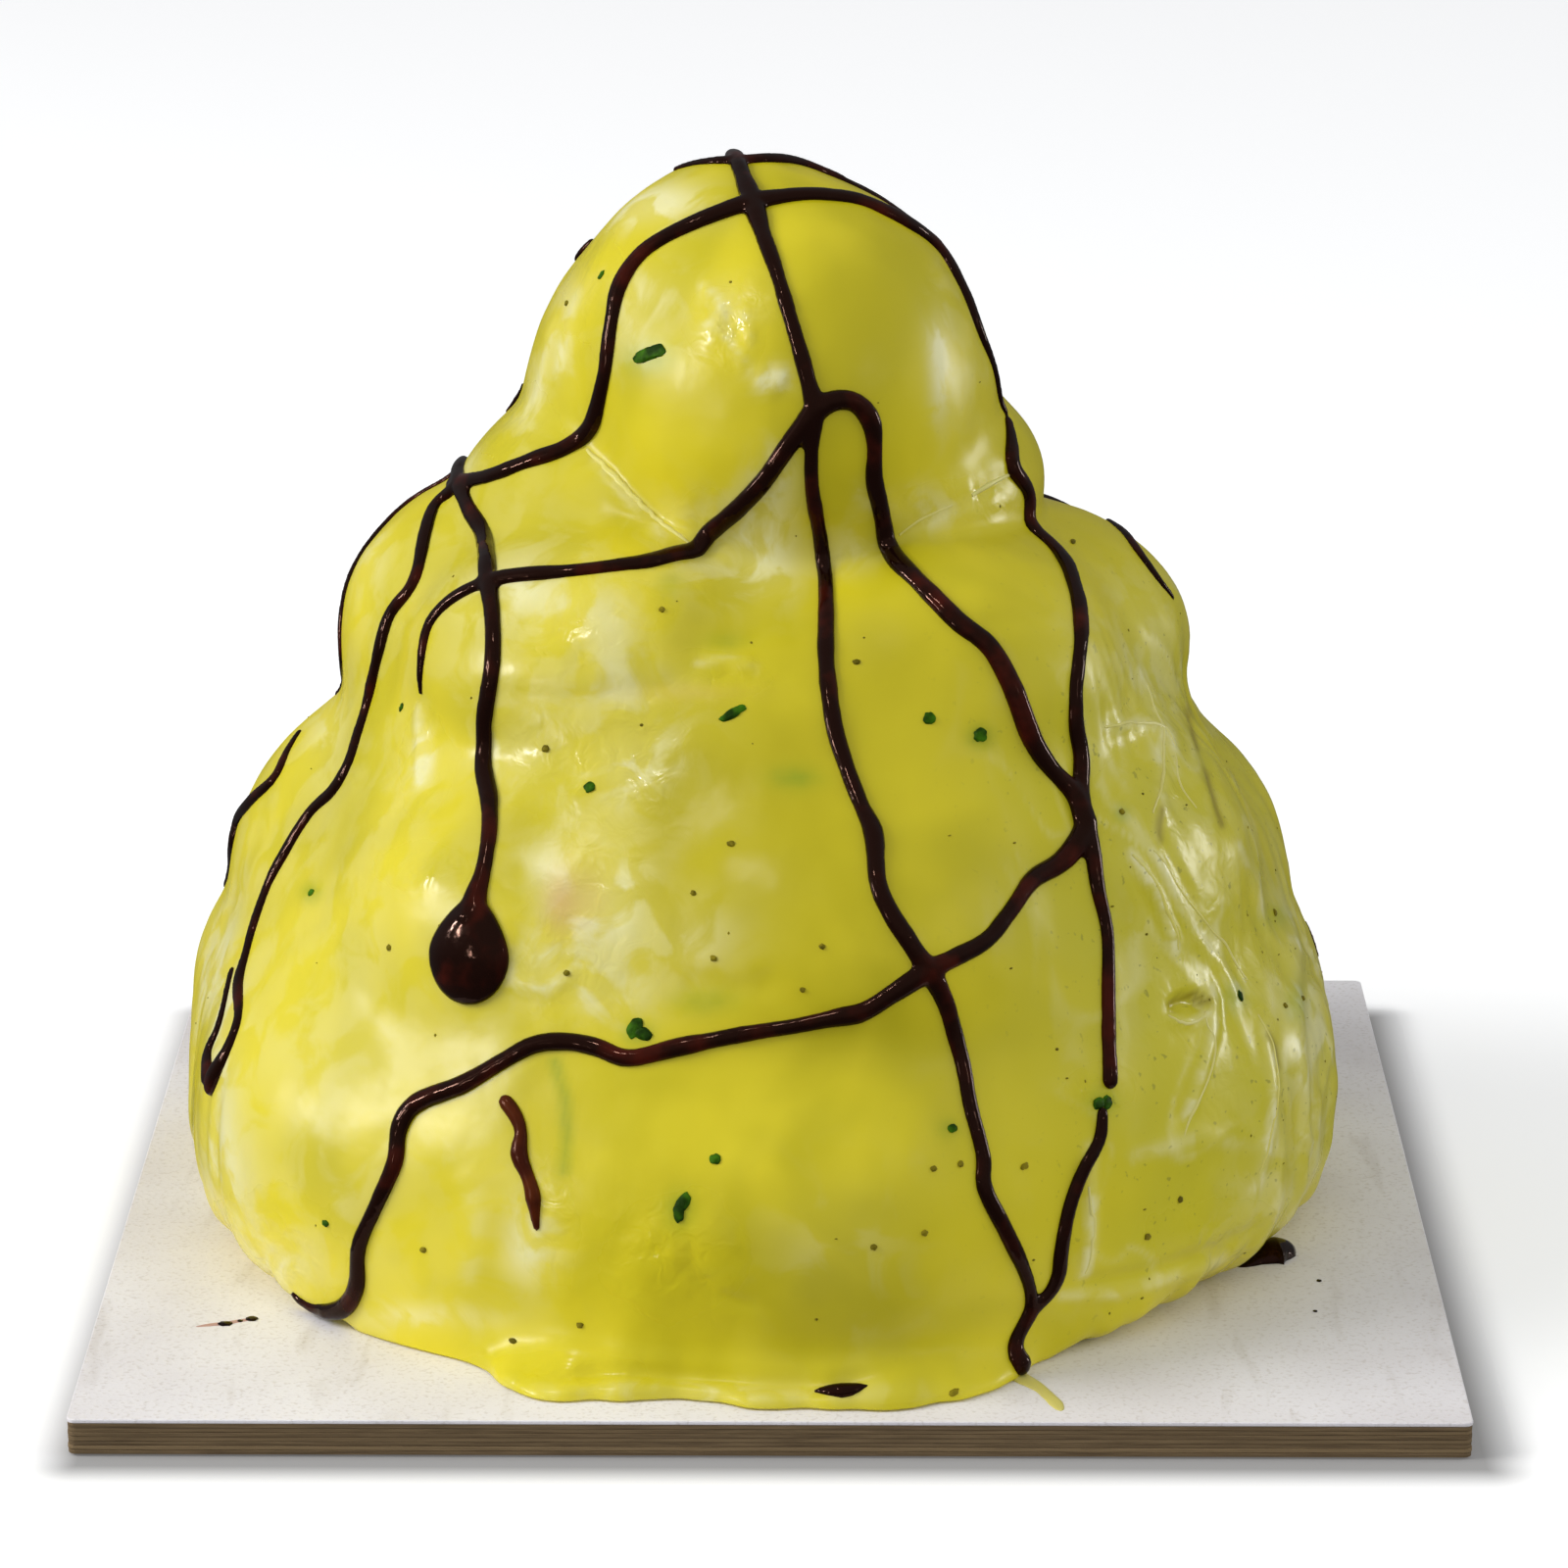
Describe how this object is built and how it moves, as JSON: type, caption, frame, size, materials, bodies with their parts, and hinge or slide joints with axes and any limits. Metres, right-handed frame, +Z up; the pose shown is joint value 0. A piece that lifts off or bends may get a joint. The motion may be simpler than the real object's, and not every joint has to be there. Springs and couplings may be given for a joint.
{
  "type": "croquembouche",
  "caption": "Tiered cone of choux puffs under one thick glossy coat of glaze trailed with chocolate, standing on a square serving board.",
  "frame": {"origin": "centre of the board's underside", "axes": "+Z up, -Y towards the viewer, +X to the viewer's right"},
  "size_m": [0.18, 0.18, 0.1526],
  "materials": {
    "board": "satin white-faced board with a brown layered edge",
    "glaze": "thick glossy lemon-yellow glaze with dark brown chocolate trails and herb flecks"
  },
  "bodies": {
    "root": {"board": "board", "glazed_puff_stack": "glaze"}
  },
  "joints": []
}
